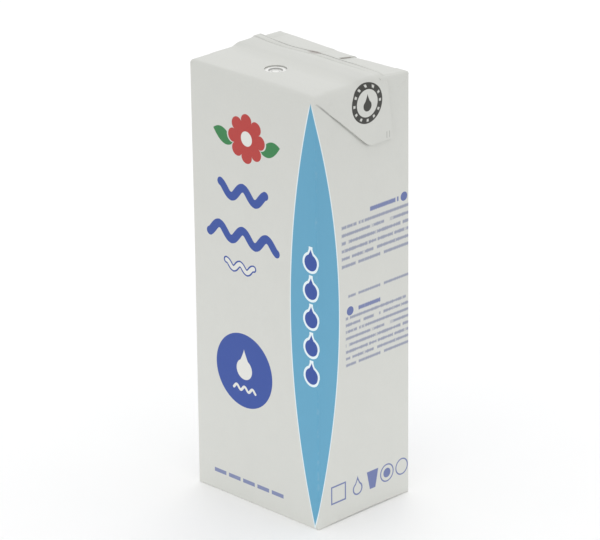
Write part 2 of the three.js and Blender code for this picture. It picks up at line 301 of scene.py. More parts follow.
def pick(piece, test, kind):
    """Selects edges or faces whose every corner passes a test, and enters edit mode."""
    bpy.context.view_layer.objects.active = piece
    object_mode()
    mesh = piece.data
    passed = [test(vertex.co) for vertex in mesh.vertices]
    for group in (mesh.vertices, mesh.edges, mesh.polygons):
        group.foreach_set("select", [False] * len(group))
    parts = mesh.edges if kind == "EDGE" else mesh.polygons
    for part in parts:
        part.select = all(passed[corner] for corner in part.vertices)
    if not any(part.select for part in parts):
        raise RuntimeError("Nothing of " + piece.name + " lies where it is to be worked on")
    bpy.ops.object.mode_set(mode="EDIT")
    bpy.ops.mesh.select_mode(type=kind)


def pick_all(piece):
    """Enters edit mode with all of a piece selected."""
    pick(piece, lambda co: True, "FACE")
    bpy.ops.mesh.select_all(action="SELECT")


def slice_at(piece, axis, places):
    """Cuts a piece across one axis at each place."""
    normal = [float(axis == i) for i in range(3)]
    pick_all(piece)
    for place in places:
        bpy.ops.mesh.select_all(action="SELECT")
        bpy.ops.mesh.bisect(plane_co=[place * n for n in normal], plane_no=normal)
    object_mode()


def trim(piece, point, normal):
    """Cuts away what lies on the normal's side of a plane."""
    pick_all(piece)
    bpy.ops.mesh.bisect(plane_co=point, plane_no=normal, clear_outer=True)
    object_mode()


def fold_edge(piece, test, centre, axis, steps=6):
    """Turns the chosen border of a sheet a quarter round a fold line."""
    pick(piece, test, "EDGE")
    bpy.ops.mesh.spin(steps=steps, angle=-QUARTER, center=centre, axis=axis)
    object_mode()


def draw_edge(piece, test, move, steps):
    """Extends the chosen border of a sheet straight on, in steps."""
    pick(piece, test, "EDGE")
    for _ in range(steps):
        bpy.ops.mesh.extrude_region_move(TRANSFORM_OT_translate={"value": Vector(move) / steps})
    object_mode()


def face_out(piece):
    """Merges doubled corners, drops faces without area and turns the rest outwards."""
    pick_all(piece)
    bpy.ops.mesh.remove_doubles(threshold=HAIR)
    bpy.ops.mesh.dissolve_degenerate(threshold=HAIR)
    bpy.ops.mesh.normals_make_consistent(inside=False)
    object_mode()


def shape_with(piece, kind, **settings):
    """Adds a modifier with its settings and applies it."""
    take(piece)
    modifier = piece.modifiers.new(kind.title(), kind)
    for key, value in settings.items():
        setattr(modifier, key, value)
    bpy.ops.object.modifier_apply(modifier=modifier.name)


def ease_edges(piece, width, segments):
    """Bevels the sharp edges of a piece."""
    shape_with(piece, "BEVEL", limit_method="ANGLE", angle_limit=SHARP, width=width, segments=segments)


def push(piece, name, weight, direction, strength):
    """Moves a piece along a direction by a strength that is weighted from place to place."""
    group = piece.vertex_groups.new(name=name)
    for vertex in piece.data.vertices:
        share = weight(vertex.co)
        if share > 0:
            group.add([vertex.index], min(share, 1), "REPLACE")
    shape_with(piece, "DISPLACE", direction=direction, strength=strength, mid_level=0, vertex_group=name)


def settle(piece, name, *materials):
    """Names a piece, gives it its finish and ties it to the frame."""
    face_out(piece)
    take(piece)
    bpy.ops.object.shade_smooth_by_angle(angle=SMOOTH_ANGLE)
    piece.name = name
    piece.data.name = name
    piece.data.materials.clear()
    for material in materials:
        piece.data.materials.append(material)
    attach(piece, "root")
    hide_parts("carton")


# Forms that several pieces share


def panel_swell(side):
    """Weight of the bulge of the front (-1) or back (1) panel."""
    s = sizes()
    skin = 2.2 * MM

    def weight(co):
        if co.y * side < s.depth / 2 - skin:
            return 0
        across = 1 - (2 * co.x / s.width) ** 2
        upward = 1 - (2 * co.z / s.height - 1) ** 2
        return max(across, 0) * max(upward, 0)
    return weight


def back_fall(co):
    """Weight of the drop of the top's back edge, as a share of the drop beside the lap."""
    s = sizes()
    half = s.width / 2
    start, lap_ease = -0.85 * half, 4 * MM
    more = smooth(start, s.lap_start, co.x) * (s.fall_middle - s.fall_step - s.fall_left)
    more += smooth(s.lap_start, s.lap_start + s.lap_ramp, co.x) * s.fall_step
    less = smooth(s.lap_edge, half, co.x) * (s.fall_middle - s.fall_right) / 2
    less += smooth(s.lap_edge, s.lap_edge + lap_ease, co.x) * (s.fall_middle - s.fall_right) / 2
    back = (co.y - s.fin_edge) / (s.depth / 2 - s.back_edge - s.fin_edge)
    high = smooth(s.height / 2, s.height - s.top_edge, co.z)
    return (s.fall_left + more - less) / s.fall_middle * hold(back) * high


def corner_flare(co):
    """Weight of the outward lean of the front left corner."""
    s = sizes()
    high = smooth(0.5 * s.height, 1.05 * s.height, co.z)
    return high * smooth(0, s.width / 2, -co.x) * smooth(-s.depth / 4, s.depth / 2, -co.y)


def corner_drop(co):
    """Weight of the soft drop of the top towards its front right corner."""
    s = sizes()
    front_reach, side_reach, depth = 10 * MM, 6.5 * MM, 14 * MM
    ahead = hold(1 - (co.y + s.depth / 2) / front_reach)
    aside = hold(1 - (s.width / 2 - co.x) / side_reach)
    front = ahead ** 2 * smooth(-8 * MM, 8 * MM, co.x)
    side = aside ** 2 * (1 - smooth(-4 * MM, 6 * MM, co.y))
    return (1 - (1 - front) * (1 - side)) * smooth(s.height - depth, s.height - MM, co.z)


def corner_lean(co):
    """Weight of the inward lean of the right panel under that corner."""
    s = sizes()
    depth = 9 * MM
    high = hold(1 - (s.height - co.z) / depth)
    right = smooth(0.7 * s.width / 2, s.width / 2, co.x)
    return high ** 2 * right * (1 - smooth(-6 * MM, 4 * MM, co.y))


def base_arch(co):
    """Weight of the lift of the base edge in the middle of the narrow sides."""
    s = sizes()
    reach_in, reach_up = 2 * MM, 5 * MM
    along = max(1 - (2 * co.y / s.depth) ** 2, 0)
    return along * smooth(s.width / 2 - reach_in, s.width / 2, abs(co.x)) * (1 - smooth(0, reach_up, co.z))


def soften_corner(piece):
    """Gives a piece the soft front right corner."""
    s = sizes()
    push(piece, "corner_drop", corner_drop, "Z", -s.shoulder)
    push(piece, "corner_lean", corner_lean, "X", -s.lean)


def follow_brick(piece):
    """Gives a piece on the back of the brick the same bulge and drop."""
    s = sizes()
    push(piece, "back_swell", panel_swell(1), "Y", s.swell)
    push(piece, "back_fall", back_fall, "Z", -s.fall_middle)


def ply_front(s):
    """Front border of the outer ply, behind the front edge of the top."""
    return 4 * MM - s.depth / 2


def ply_stand(s):
    """How far the outer ply's ears stand off the narrow sides."""
    return 1.3 * s.board


class CARTON_OT_brick(bpy.types.Operator):
    """Model the board brick with its rounded edges, bulging panels and hollow base"""

    bl_idname = "carton.brick"
    bl_label = "Brick"

    def execute(self, context):
        s = sizes()
        half = s.width / 2
        clear_selection()
        bpy.ops.mesh.primitive_cube_add(size=1, location=(0, 0, s.height / 2),
                                        scale=(s.width, s.depth, s.height))
        brick = set_in_place()
        columns = [x * MM for x in BRICK_COLUMNS]
        rows = [ply_front(s) - 0.1 * MM] + [y * MM for y in BRICK_ROWS]
        rows += [s.fin_edge - 2 * MM, s.fin_edge - MM, s.fin_edge + MM] + [y * MM for y in BRICK_BACK_ROWS]
        lowest, highest = 4 * MM, s.height - 4 * MM
        levels = [lowest] + spaced(lowest, highest, 24) + [highest]
        for axis, places in enumerate((columns, rows, levels)):
            slice_at(brick, axis, places)
        self.round_edges(brick, s, [-half] + columns + [half])
        push(brick, "under_ply", lambda co: self.under_ply(s, co), "Z", -MM)
        push(brick, "front_swell", panel_swell(-1), "Y", -s.swell)
        push(brick, "corner_flare", corner_flare, "X", -s.flare)
        follow_brick(brick)
        soften_corner(brick)
        push(brick, "base_hollow", lambda co: self.hollow(s, co), "Z", s.base_hollow)
        push(brick, "base_arch", base_arch, "Z", s.base_arch)
        settle(brick, "brick", print_board())
        return {"FINISHED"}

    @staticmethod
    def under_ply(s, co):
        """1 where the outer ply covers the top, which is sunk there."""
        front, back = -10.9 * MM, s.fin_edge - 1.5 * MM
        side = s.width / 2 - s.end_edge - MM / 2
        return float(co.z > s.height - MM / 2 and front < co.y < back and abs(co.x) < side)

    @staticmethod
    def hollow(s, co):
        """Weight of the hollow between the front and back rims of the base."""
        if co.z > MM / 10 or abs(co.x) > s.width / 2 - s.base_rim + MM:
            return 0
        return max(0, 1 - abs(co.y) / (s.depth / 2 - s.base_rim))

    @staticmethod
    def round_edges(brick, s, columns):
        """Bevels every outer edge by its own radius, and the top's front edge column by column."""
        half_w, half_d = s.width / 2, s.depth / 2
        widest = max(s.top_edge, s.back_edge)
        corner, inner = 0.86 * half_w, 0.74 * half_w
        crisp, corner_crisp = 0.8 * MM, 0.5 * MM

        def top(co):
            return co.z > s.height - HAIR

        def base(co):
            return co.z < HAIR

        def back(co):
            return co.y > half_d - HAIR

        def front(co):
            return -co.y > half_d - HAIR

        def right(co):
            return co.x > half_w - HAIR

        def wide(co):
            return abs(co.y) > half_d - HAIR

        def narrow(co):
            return abs(co.x) > half_w - HAIR

        def weigh(radius, test):
            pick(brick, test, "EDGE")
            bpy.ops.transform.edge_bevelweight(value=-1)
            bpy.ops.transform.edge_bevelweight(value=radius / widest)
            object_mode()

        weigh(s.side_edge, lambda co: narrow(co) and wide(co))
        weigh(crisp, lambda co: top(co) and wide(co))
        weigh(0.5 * s.back_edge, lambda co: top(co) and back(co) and abs(co.x) < corner)
        weigh(s.back_edge, lambda co: top(co) and back(co) and abs(co.x) < inner)
        weigh(s.end_edge, lambda co: top(co) and narrow(co))
        for radius, end in ((1.2 * MM, 8 * MM), (s.soft_fold, 5 * MM), (2 * MM, -13 * MM)):
            weigh(radius, lambda co: top(co) and right(co) and co.y < end)
        weigh(s.base_edge, lambda co: base(co) and wide(co))
        weigh(s.base_edge, lambda co: base(co) and narrow(co))
        for start, end in zip(columns, columns[1:]):
            middle = (start + end) / 2
            soft = smooth(-8 * MM, 5 * MM, middle) * (1 - smooth(13 * MM, 24 * MM, middle))
            eased = s.crisp_edge + (s.top_edge - s.crisp_edge) * soft
            weigh(eased if middle > -corner else corner_crisp,
                  lambda co: top(co) and front(co) and start - HAIR < co.x < end + HAIR)
        shape_with(brick, "BEVEL", limit_method="WEIGHT", width=widest, segments=6)


class CARTON_OT_outer_ply(bpy.types.Operator):
    """Fold the outer ply: front half of the top, the fin laid back, and the ears down both sides"""

    bl_idname = "carton.outer_ply"
    bl_label = "Outer ply"

    def execute(self, context):
        s = sizes()
        stand = ply_stand(s)
        outer = s.width / 2 + stand
        front = ply_front(s)
        left, right = s.fold - outer, outer - s.soft_fold
        sink, dip, thickness = 0.08 * MM, 0.14 * MM, 0.66 * MM
        ply = add_sheet((left, front, s.height), (right, s.fin_edge, s.height))
        slice_at(ply, 1, self.rows(s, front))
        slice_at(ply, 0, spaced(left, right, 16))
        slice_at(ply, 0, [s.lap_start, s.lap_start + s.lap_ramp, s.lap_edge, s.lap_edge + 0.6 * MM])
        for side, border, radius in ((-1, left, s.fold), (1, right, s.soft_fold)):
            low = s.height - radius
            fold_edge(ply, lambda co: abs(co.x - border) < CLOSE, (border, 0, low), (0, side, 0), 10)
            draw_edge(ply, lambda co: abs(co.z - low) < CLOSE and abs(co.x - side * outer) < CLOSE,
                      (0, 0, radius - s.ear_drop), 12)
        self.cut_ears(ply, s)
        face_out(ply)
        push(ply, "skew", lambda co: smooth(-2 * MM, s.fin_edge, co.y)
             * max(0, s.height - s.fold - co.z) / s.ear_drop, "Y", s.ear_end - s.fin_edge)
        push(ply, "rise", lambda co: self.rise(s, co) / s.fin_lift, "NORMAL", s.fin_lift)
        push(ply, "bow", lambda co: self.bow(s, co), "Y", -s.fin_bow)
        push(ply, "corner_flare", corner_flare, "X", -s.flare)
        push(ply, "flush", lambda co: (1 - smooth(front, -9.5 * MM, co.y))
             * smooth(right if co.x > 0 else -left, outer, abs(co.x)), "NORMAL", -stand - sink)
        push(ply, "front_dip", lambda co: 1 - smooth(front, front + 2.5 * MM, co.y), "NORMAL", -dip)
        soften_corner(ply)
        shape_with(ply, "SOLIDIFY", thickness=thickness, offset=-1, use_even_offset=True)
        self.punch(ply, s)
        settle(ply, "outer_ply", ear_board())
        return {"FINISHED"}

    @staticmethod
    def rows(s, front):
        """Cuts from front to back, close together at the fold, the crimp lines and the free edge."""
        crimp = s.fin_edge - s.fin_crimp
        rows = [front + step * 0.8 * MM for step in (1, 2, 3)]
        rows += [y * MM for y in PLY_FRONT_ROWS] + [s.fin_front] + [y * MM for y in PLY_FIN_ROWS]
        rows += [crimp - 0.5 * MM] + [crimp + step * 0.16 * MM for step in range(-2, 6)]
        return rows + [s.fin_edge - step * 0.2 * MM for step in range(1, 7)]

    @staticmethod
    def cut_ears(ply, s):
        """Slanted front edges, their rounded tips and the level cut ends."""
        cuts = 6
        slope = (s.ear_drop - s.ear_gap) / (s.ear_tip + s.depth / 2)
        slant = QUARTER - math.atan(1 / slope)
        tip = Vector((0, s.ear_tip, s.height - s.ear_drop))
        heart = tip + Vector((0, s.ear_round * math.tan(slant / 2), s.ear_round))
        for cut in range(cuts):
            turn = slant * (1 - cut / (cuts - 1))
            normal = Vector((0, -math.sin(turn), -math.cos(turn)))
            trim(ply, heart + normal * s.ear_round, normal)

    @staticmethod
    def rise(s, co):
        """Height of the ply over the surface that it is folded on."""
        y = co.y
        two_ply = 2 * s.board
        crimp = s.fin_edge - s.fin_crimp
        clear, line_half = 0.02 * MM, 0.2 * MM
        # The fold of the fin is softer away from the narrow sides.
        soft = 2.6 * MM * (1 - smooth(0.8, 1, abs(2 * co.x / s.width)))
        top = two_ply * smooth(s.fin_front - MM - soft, MM, y)
        # The lap seam shows through the fin.
        on_lap = smooth(s.lap_start, s.lap_start + s.lap_ramp, co.x)
        on_lap -= smooth(s.lap_edge, s.lap_edge + MM, co.x)
        top += 0.3 * s.board * on_lap * smooth(2 * MM, crimp, y)
        # The free edge gapes at its left end and has a thin lip.
        left_end = smooth(9 * MM, s.width / 2, -co.x)
        gape = (s.fin_lift - two_ply) * left_end * smooth(crimp - 1.1 * MM, s.fin_edge - 0.8 * MM, y)
        top += 1.5 * gape + 0.1 * MM * smooth(s.fin_edge - 0.9 * MM, s.fin_edge - 0.3 * MM, y)
        # The crimp lines and the whole fin are flatter on the right.
        pressed = 1 - 0.6 * smooth(10 * MM, 20 * MM, co.x)
        for line, depth in ((0, 0.2), (0.64 * MM, 0.08), (s.fin_crimp - 0.6 * MM, 0.3)):
            top -= depth * MM * pressed * max(0, 1 - abs(y - crimp - line) / line_half)
        top *= 1 - 0.4 * smooth(14 * MM, 22 * MM, co.x)
        ear = s.board * smooth(-6.5 * MM, 2 * MM, y)
        down = smooth(0, 5 * MM, s.height - co.z)
        return clear + top * (1 - down) + ear * down

    @staticmethod
    def bow(s, co):
        """Weight of the forward bow of the fin's free edge, left of the lap seam."""
        across = smooth(2 * MM, 12 * MM, -co.x) * (1 - smooth(16 * MM, 24 * MM, -co.x))
        behind = smooth(s.fin_front, s.fin_edge - s.fin_crimp, co.y)
        return across * behind * smooth(s.height - s.ear_drop, s.height, co.z)

    @staticmethod
    def punch(ply, s):
        """Round straw hole through the ply."""
        clear_selection()
        bpy.ops.mesh.primitive_cylinder_add(vertices=64, radius=s.hole, depth=4 * MM,
                                            location=(s.hole_x, s.hole_y, s.height))
        cutter = set_in_place()
        shape_with(ply, "BOOLEAN", object=cutter, operation="DIFFERENCE", solver="EXACT")
        take(cutter)
        bpy.ops.object.delete()


class CARTON_OT_tucked_ears(bpy.types.Operator):
    """Fold the back halves of both ears down under the fin"""

    bl_idname = "carton.tucked_ears"
    bl_label = "Tucked ears"

    def execute(self, context):
        s = sizes()
        for side, lift, short in (("right", -0.2 * MM, 0.4 * MM), ("left", 0.45 * MM, 1.9 * MM)):
            ear = self.ear(s, lift, short)
            if side == "left":
                take(ear)
                bpy.ops.transform.mirror(constraint_axis=(True, False, False))
                set_in_place()
                face_out(ear)
            push(ear, "back_fall", back_fall, "Z", -s.fall_middle)
            settle(ear, "tucked_ear_" + side, plain_board())
        return {"FINISHED"}

    @staticmethod
    def ear(s, lift, short):
        """The right ear's back half, standing above the top by lift and ending short of the back."""
        stand, sink, dip = 0.4 * MM, 0.08 * MM, 0.25 * MM
        flat, drop, thickness = 4 * MM, 15 * MM, 0.5 * MM
        bend = s.width / 2 + stand - s.fold
        start, end = s.fin_edge - 2 * MM, s.depth / 2 - short
        top = s.height + lift
        low = top - s.fold
        ear = add_sheet((bend - flat, start, top), (bend, end, top))
        slice_at(ear, 1, spaced(start, end, 9))
        slice_at(ear, 0, spaced(bend - flat, bend, 4))
        fold_edge(ear, lambda co: abs(co.x - bend) < CLOSE, (bend, 0, low), (0, 1, 0))
        draw_edge(ear, lambda co: abs(co.z - low) < MM / 10 and co.x > bend + s.fold / 2, (0, 0, -drop), 6)
        trim(ear, (0, s.depth / 2, s.height - s.ear_gap), (0, 1, -1))
        face_out(ear)
        push(ear, "dip", lambda co: 1 - smooth(bend - flat, bend, co.x), "Z", -lift - dip)
        push(ear, "tuck", lambda co: smooth(1.5 * MM, 6 * MM, s.height - co.z), "X", -stand - sink)
        shape_with(ear, "SOLIDIFY", thickness=thickness, offset=-1)
        ease_edges(ear, 0.12 * MM, 2)
        return ear


class CARTON_OT_lap_seam(bpy.types.Operator):
    """Lay the lap seam up the back panel and over the back edge of the top"""

    bl_idname = "carton.lap_seam"
    bl_label = "Lap seam"

    def execute(self, context):
        s = sizes()
        foot, face, top = MM, s.depth / 2 + s.board, s.height + s.board
        bend, edge = s.height - s.back_edge, s.depth / 2 - s.back_edge
        ramp_end = s.lap_start + s.lap_ramp
        ramp_drop, foot_drop, thickness = 0.45 * MM, 0.3 * MM, 0.44 * MM
        lap = add_sheet((s.lap_start, face, foot), (s.lap_edge, face, bend))
        slice_at(lap, 0, spaced(s.lap_start, ramp_end, 4) + [ramp_end, 2 * MM])
        slice_at(lap, 2, spaced(foot, bend, 24))
        fold_edge(lap, lambda co: abs(co.z - bend) < CLOSE, (0, edge, bend), (1, 0, 0))
        draw_edge(lap, lambda co: abs(co.z - top) < CLOSE and abs(co.y - edge) < CLOSE,
                  (0, s.fin_edge - 2 * MM - edge, 0), 6)
        face_out(lap)
        push(lap, "ramp", lambda co: 1 - smooth(s.lap_start, ramp_end, co.x), "NORMAL", -ramp_drop)
        push(lap, "foot", lambda co: 1 - smooth(foot, 3 * MM, co.z), "Y", -foot_drop)
        follow_brick(lap)
        shape_with(lap, "SOLIDIFY", thickness=thickness, offset=-1, material_offset_rim=1)
        ease_edges(lap, 0.05 * MM, 1)
        settle(lap, "lap_seam", print_board(), cut_edge())
        return {"FINISHED"}


class CARTON_OT_straw_film(bpy.types.Operator):
    """Model the thin film that closes the straw hole, dished with a low dome"""

    bl_idname = "carton.straw_film"
    bl_label = "Straw film"

    def execute(self, context):
        s = sizes()
        lap, sunk, thickness = 0.3 * MM, 0.36 * MM, 0.05 * MM
        clear_selection()
        bpy.ops.mesh.primitive_circle_add(vertices=64, radius=s.hole + lap, fill_type="NGON",
                                          location=(s.hole_x, s.hole_y, s.height - sunk))
        film = set_in_place()
        pick_all(film)
        for width, lift in FILM_RINGS:
            bpy.ops.mesh.inset(thickness=width * MM, depth=0)
            bpy.ops.transform.translate(value=(0, 0, lift * MM))
        bpy.ops.mesh.poke()
        object_mode()
        shape_with(film, "SOLIDIFY", thickness=thickness, offset=-1)
        settle(film, "straw_film", hole_film())
        return {"FINISHED"}


class CARTON_OT_base_folds(bpy.types.Operator):
    """Tuck the two base ears and the base fin under the brick"""

    bl_idname = "carton.base_folds"
    bl_label = "Base folds"

    def execute(self, context):
        self.ears(sizes())
        self.fin()
        return {"FINISHED"}

    def ears(self, s):
        """The right base ear, a triangle with clipped corners, and its turned copy on the left."""
        half_w, half_d = s.width / 2, s.depth / 2
        side_gap, corner_gap = 1.1 * MM, 1.3 * MM
        ear = add_sheet((half_w - half_d, -half_d, 0), (half_w - side_gap, half_d, 0))
        for way in (1, -1):
            trim(ear, (half_w - half_d, 0, 0), (-1, way, 0))
        for way in (1, -1):
            trim(ear, (0, way * (half_d - corner_gap), 0), (0, way, 0))
        face_out(ear)
        self.thicken(ear, 0.95 * MM)
        settle(ear, "base_ear_right", plain_board())
        take(ear)
        bpy.ops.object.duplicate()
        bpy.ops.transform.rotate(value=math.pi, orient_axis="Z", center_override=(0, 0, 0))
        settle(set_in_place(), "base_ear_left", plain_board())

    def fin(self):
        """The base fin, laid flat along the middle of the base with one crimp line."""
        half, front, back, low = 15 * MM, -0.9 * MM, 8 * MM, 0.15 * MM
        crimp, crimp_half, crimp_depth = 6 * MM, 0.2 * MM, 0.08 * MM
        fold_end, fold_lift = 0.4 * MM, 0.5 * MM
        fin = add_sheet((-half, front, low), (half, back, low))
        slice_at(fin, 1, [-0.5 * MM, 0, 0.6 * MM, crimp - crimp_half, crimp, crimp + crimp_half])
        push(fin, "fold", lambda co: 1 - smooth(front, fold_end, co.y), "Z", fold_lift)
        push(fin, "crimp", lambda co: max(0, 1 - abs(co.y - crimp) / crimp_half), "Z", crimp_depth)
        face_out(fin)
        self.thicken(fin, 0.7 * MM)
        settle(fin, "base_fin", plain_board())

    @staticmethod
    def thicken(sheet, thickness):
        """Thickens a flat sheet upwards into the base."""
        faces_up = sheet.data.polygons[0].normal.z > 0
        shape_with(sheet, "SOLIDIFY", thickness=thickness, offset=1 if faces_up else -1)
        face_out(sheet)
        ease_edges(sheet, 0.15 * MM, 2)


# Finishes, worked out in millimetres


class Graph:
    """Builds a node tree from short expressions."""

    def __init__(self, tree):
        self.tree = tree

    def node(self, kind, values=None, **settings):
        """A node with its settings and with the values or links of its inputs."""
        node = self.tree.nodes.new(kind)
        for key, value in settings.items():
            setattr(node, key, value)
        for key, value in (values or {}).items():
            self.put(node.inputs[key], value)
        return node

    def put(self, socket, value):
        """Links a socket, or sets its value."""
        if isinstance(value, bpy.types.NodeSocket):
            self.tree.links.new(value, socket)
        else:
            socket.default_value = value

    def calc(self, operation, *values, clamp=False):
        """One step of arithmetic."""
        node = self.node("ShaderNodeMath", operation=operation, use_clamp=clamp)
        for socket, value in zip(node.inputs, values):
            self.put(socket, value)
        return node.outputs[0]

    def add(self, a, b):
        """a + b"""
        return self.calc("ADD", a, b)

    def sub(self, a, b):
        """a - b"""
        return self.calc("SUBTRACT", a, b)

    def mul(self, a, b):
        """a * b"""
        return self.calc("MULTIPLY", a, b)

    def line(self, value, slope, offset, clamp=False):
        """value * slope + offset"""
        return self.calc("MULTIPLY_ADD", value, slope, offset, clamp=clamp)

    def absolute(self, value):
        """A value without its sign."""
        return self.calc("ABSOLUTE", value)

    def least(self, first, *others):
        """The lowest value, which is the depth inside all of some shapes."""
        for other in others:
            first = self.calc("MINIMUM", first, other)
        return first

    def most(self, first, *others):
        """The highest value, which is the depth inside any of some shapes."""
        for other in others:
            first = self.calc("MAXIMUM", first, other)
        return first

    def inside(self, depth, soft=0.06):
        """Mask of where a depth in millimetres is above zero."""
        return self.line(depth, 1 / soft, 0.5, clamp=True)

    def strip(self, value, middle, half):
        """Depth inside a strip of values round a middle."""
        return self.sub(half, self.absolute(self.sub(value, middle)))

    def band(self, value, low, high):
        """Depth inside a band of values between two ends."""
        return self.strip(value, (low + high) / 2, (high - low) / 2)

    def distance(self, x, y):
        """Distance from the origin of x and y."""
        return self.calc("SQRT", self.add(self.mul(x, x), self.mul(y, y)))

    def disc(self, x, y, radius):
        """Depth inside a disc round the origin of x and y."""
        return self.sub(radius, self.distance(x, y))

    def ramp(self, value, low, high):
        """Soft step from 0 at low to 1 at high."""
        return self.node("ShaderNodeMapRange", {"Value": value, "From Min": low, "From Max": high},
                         interpolation_type="SMOOTHSTEP").outputs[0]

    def noise(self, place, scale, detail):
        """Cloudy values between 0 and 1."""
        values = {"Vector": place, "Scale": scale, "Detail": detail}
        return self.node("ShaderNodeTexNoise", values).outputs[0]

    def split(self, place):
        """The x, y and z of a place."""
        return self.node("ShaderNodeSeparateXYZ", {0: place}).outputs

    def blend(self, mask, below, above):
        """One colour laid over another where a mask is on."""
        node = self.node("ShaderNodeMix", data_type="RGBA")
        sockets = (node.inputs["Factor"], node.inputs[6], node.inputs[7])
        for socket, value in zip(sockets, (mask, below, above)):
            self.put(socket, value)
        return node.outputs[2]

    def group(self, tree, values):
        """The outputs of a node group with its own values."""
        return self.node("ShaderNodeGroup", values, node_tree=tree).outputs


def made_once(store, name):
    """Makes a node group or a material on its first use, and hands out the same one after that."""
    def keep(make):
        @wraps(make)
        def find():
            made = getattr(bpy.data, store)
            return made[name] if name in made else make(name)
        return find
    return keep


def open_group(name, inputs, outputs):
    """A new node group with its sockets, its inner graph and its two ends."""
    tree = bpy.data.node_groups.new(name, "ShaderNodeTree")
    for label in inputs:
        kind = "NodeSocketVector" if label == "Position" else "NodeSocketFloat"
        tree.interface.new_socket(name=label, in_out="INPUT", socket_type=kind)
    for label in outputs:
        tree.interface.new_socket(name=label, in_out="OUTPUT", socket_type="NodeSocketFloat")
    graph = Graph(tree)
    start = graph.node("NodeGroupInput").outputs
    end = graph.node("NodeGroupOutput").inputs
    return tree, graph, start, end


@made_once("node_groups", "Board grain and shade")
def grain_and_shade_group(name):
    """Cloudy tone, fibre and fine relief of coated board, with painted light near the base and painted
    shade towards the top.
    """
    tree, g, start, end = open_group(name, ("Position", "Tone", "Relief"), ("Shade", "Height", "Gloss"))
    position, middle = start["Position"], 0.5
    stretched = g.node("ShaderNodeMapping", {"Vector": position, "Scale": (1.8, 1.8, 0.8)}).outputs[0]
    cloud = g.noise(position, 0.14, 3)
    fibre = g.noise(stretched, 0.9, 4)
    fine = g.noise(position, 5, 2)
    wave = g.noise(position, 0.07, 1)
    cloud_share, fine_share = 1.2, 0.6
    mixed = g.add(g.mul(g.sub(cloud, middle), cloud_share), g.sub(fibre, middle))
    mixed = g.add(mixed, g.mul(g.sub(fine, middle), fine_share))
    # Painted light and shade: the board is lighter near the base and darker towards the top, in place of
    # light thrown up by the floor.
    painted_base_light, painted_top_shade = 1.025, 0.12
    upward = g.line(g.split(position)[2], -painted_top_shade / in_mm(sizes()).height, painted_base_light)
    g.put(end["Shade"], g.calc("MULTIPLY_ADD", mixed, start["Tone"], upward))
    fine_height, fibre_height, wave_height = 0.02, 0.03, 0.5
    height = g.add(g.mul(fine, fine_height), g.mul(fibre, fibre_height))
    height = g.add(height, g.mul(wave, wave_height))
    g.put(end["Height"], g.mul(height, start["Relief"]))
    gloss_change, least_rough = 0.16, 0.36
    g.put(end["Gloss"], g.line(cloud, gloss_change, least_rough))
    return tree


@made_once("node_groups", "Edge rub")
def rub_group(name):
    """Rubbed fibre along the upright edges and the top edges of the brick."""
    m = in_mm(sizes())
    tree, g, start, end = open_group(name, ("Position", "Reach"), ("Mask",))
    x, y, z = g.split(start["Position"])
    across = g.absolute(g.sub(m.width / 2, g.absolute(x)))
    along = g.absolute(g.sub(m.depth / 2, g.absolute(y)))
    upward = g.absolute(g.sub(m.height, z))
    closest = g.least(g.add(across, along), g.add(across, upward), g.add(along, upward))
    bare, contrast, strength = 0.42, 6, 0.5
    patch = g.mul(g.sub(g.noise(start["Position"], 0.45, 5), bare), contrast)
    worn = g.sub(patch, g.calc("DIVIDE", closest, start["Reach"]))
    g.put(end["Mask"], g.calc("MULTIPLY", worn, strength, clamp=True))
    return tree


@made_once("node_groups", "Drop")
def drop_group(name):
    """Depth inside a drop: a round foot that tapers to a tip above."""
    tree, g, start, end = open_group(name, ("X", "Y", "Radius", "Tip"), ("Depth",))
    x, y, radius, tip = (start[label] for label in ("X", "Y", "Radius", "Tip"))
    pointed = 1.25
    share = g.calc("DIVIDE", y, tip, clamp=True)
    taper = g.mul(radius, g.calc("POWER", g.sub(1, share), pointed))
    side = g.least(g.sub(taper, g.absolute(x)), y, g.sub(tip, y))
    g.put(end["Depth"], g.most(g.disc(x, y, radius), side))
    return tree


@made_once("node_groups", "Wave stroke")
def wave_group(name):
    """Depth inside a waving stroke of even width between two ends."""
    labels = ("X", "Y", "Half length", "Swing", "Pitch", "Half width")
    tree, g, start, end = open_group(name, labels, ("Depth",))
    x, y, half_length, swing, pitch, half_width = (start[label] for label in labels)
    turn = g.calc("DIVIDE", math.tau, pitch)
    rise = g.mul(swing, g.calc("COSINE", g.mul(x, turn)))
    slope = g.mul(g.mul(swing, turn), g.mul(-1, g.calc("SINE", g.mul(x, turn))))
    lead = g.calc("DIVIDE", g.mul(g.sub(y, rise), slope), g.add(1, g.mul(slope, slope)))
    reach = g.sub(half_length, half_width)
    foot = g.most(g.least(g.add(x, lead), reach), g.mul(-1, reach))
    middle = g.mul(swing, g.calc("COSINE", g.mul(foot, turn)))
    g.put(end["Depth"], g.disc(g.sub(x, foot), g.sub(y, middle), half_width))
    return tree


@made_once("node_groups", "Small print bars")
def bars_group(name):
    """Rows of short dashes that stand for small print."""
    tree, g, start, end = open_group(name, ("X", "Y", "Pitch", "Weight"), ("Depth",))
    row_step, space, cut, unevenness = 7.3, 0.4, 8, 0.5
    rows = g.calc("DIVIDE", start["Y"], start["Pitch"])
    within = g.mul(g.absolute(g.sub(g.calc("FRACT", rows), 0.5)), start["Pitch"])
    row = g.mul(g.calc("FLOOR", rows), row_step)
    place = g.node("ShaderNodeCombineXYZ", {"X": start["X"], "Y": row}).outputs[0]
    gap = g.mul(g.sub(g.noise(place, 0.42, 1), space), cut)
    tall = g.line(g.noise(place, 2.3, 1), unevenness, -unevenness / 2)
    g.put(end["Depth"], g.least(g.sub(g.add(start["Weight"], tall), within), gap))
    return tree


def shaded(values, share):
    """A colour made darker or paler by a share."""
    return tuple(min(value * share, 1) for value in values)


def rgba(values):
    """A colour with full cover."""
    return tuple(values) + (1,)


